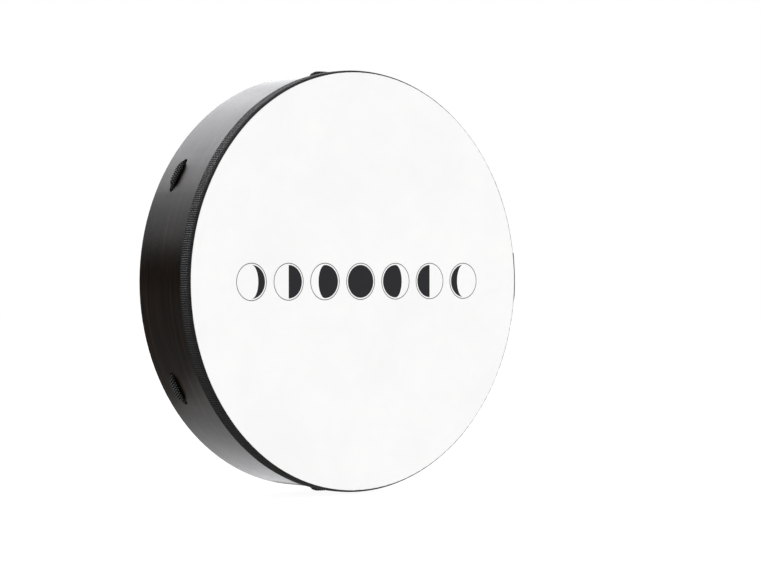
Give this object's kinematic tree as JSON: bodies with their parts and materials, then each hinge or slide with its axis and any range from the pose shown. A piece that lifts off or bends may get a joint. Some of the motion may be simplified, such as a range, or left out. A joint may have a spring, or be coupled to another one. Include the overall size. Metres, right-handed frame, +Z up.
{
  "type": "frame drum",
  "caption": "Shallow round frame drum with a synthetic head, a bent plywood shell, a webbing-bound rim and a rope hand grip across its open back.",
  "frame": {"origin": "centre of the rope hand grip, on the drum's axis, in the plane of the rope holes", "axes": "+Z up as the drum is held, +Y along the drum's axis out of its open back, so the head faces -Y; +X to the right seen from the front"},
  "size_m": [0.4642, 0.0968, 0.4678],
  "materials": {
    "stained_veneer": "very dark brown-black stained oak veneer under satin lacquer",
    "stained_plies": "stained plywood edge, satin lacquer",
    "inner_veneer": "dark brown stained oak veneer, satin",
    "hoop_wood": "stained solid wood hoop, satin",
    "skin": "near-white synthetic drum head with a faint fibre mottle",
    "webbing": "black ribbed webbing, ribs across its width",
    "rope": "black braided rope",
    "whipping_cord": "thin black twisted cord, wound tight",
    "ring_steel": "plain steel ring, covered by its cord"
  },
  "bodies": {
    "root": {"shell_outer_veneer": "stained_veneer", "shell_core": "stained_plies", "shell_inner_veneer": "inner_veneer", "bearing_hoop": "hoop_wood", "drum_head": "skin", "rim_webbing": "webbing", "grip_ring_core": "ring_steel", "grip_ring_wrap": "whipping_cord", "rope_strop_1": "rope", "rope_strop_2": "rope", "rope_strop_3": "rope", "rope_strop_4": "rope", "rope_strop_5": "rope", "rope_strop_6": "rope", "strop_whipping_1": "whipping_cord", "strop_whipping_2": "whipping_cord", "strop_whipping_3": "whipping_cord", "strop_whipping_4": "whipping_cord", "strop_whipping_5": "whipping_cord", "strop_whipping_6": "whipping_cord"}
  },
  "joints": []
}
